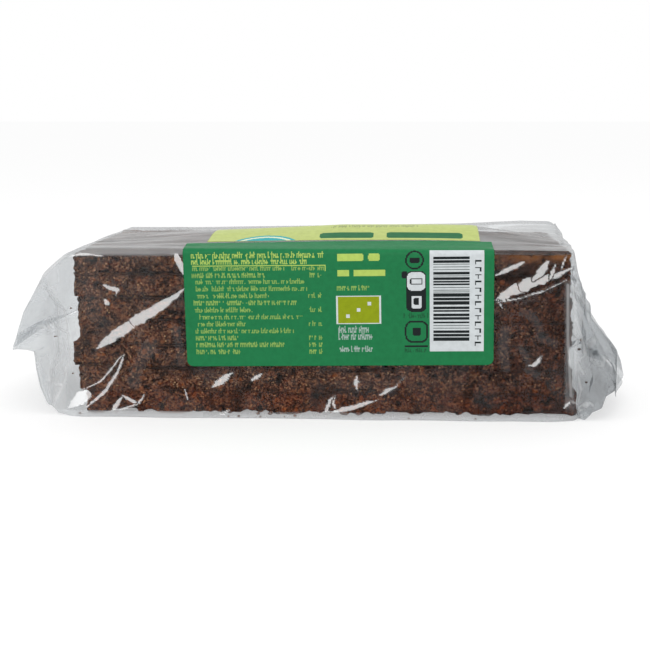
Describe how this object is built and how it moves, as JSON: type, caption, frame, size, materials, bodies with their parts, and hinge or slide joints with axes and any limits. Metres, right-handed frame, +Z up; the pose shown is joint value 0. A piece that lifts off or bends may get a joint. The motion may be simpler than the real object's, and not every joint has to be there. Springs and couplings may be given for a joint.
{
  "type": "sliced rye tin loaf in a film bag",
  "caption": "Stack of dark whole-grain rye bread slices sealed in a clear film bag with folded, sealed ends and plain adhesive labels.",
  "frame": {"origin": "centre of the pack's outline, on the flat underside that it lies on", "axes": "+X along the pack's length, -Y out of the face with the green label, +Z up through the stack of slices"},
  "size_m": [0.22, 0.073, 0.0636],
  "materials": {
    "rye_crumb": "coarse moist rye crumb, matt",
    "clear_film": "thin glossy clear plastic film, creased",
    "green_label": "satin printed label",
    "lime_label": "satin printed label"
  },
  "bodies": {
    "root": {"slice_1": "rye_crumb", "slice_2": "rye_crumb", "slice_3": "rye_crumb", "slice_4": "rye_crumb", "slice_5": "rye_crumb", "slice_6": "rye_crumb", "slice_7": "rye_crumb", "film_wrap": "clear_film", "label_front": "green_label", "label_top": "lime_label"}
  },
  "joints": []
}
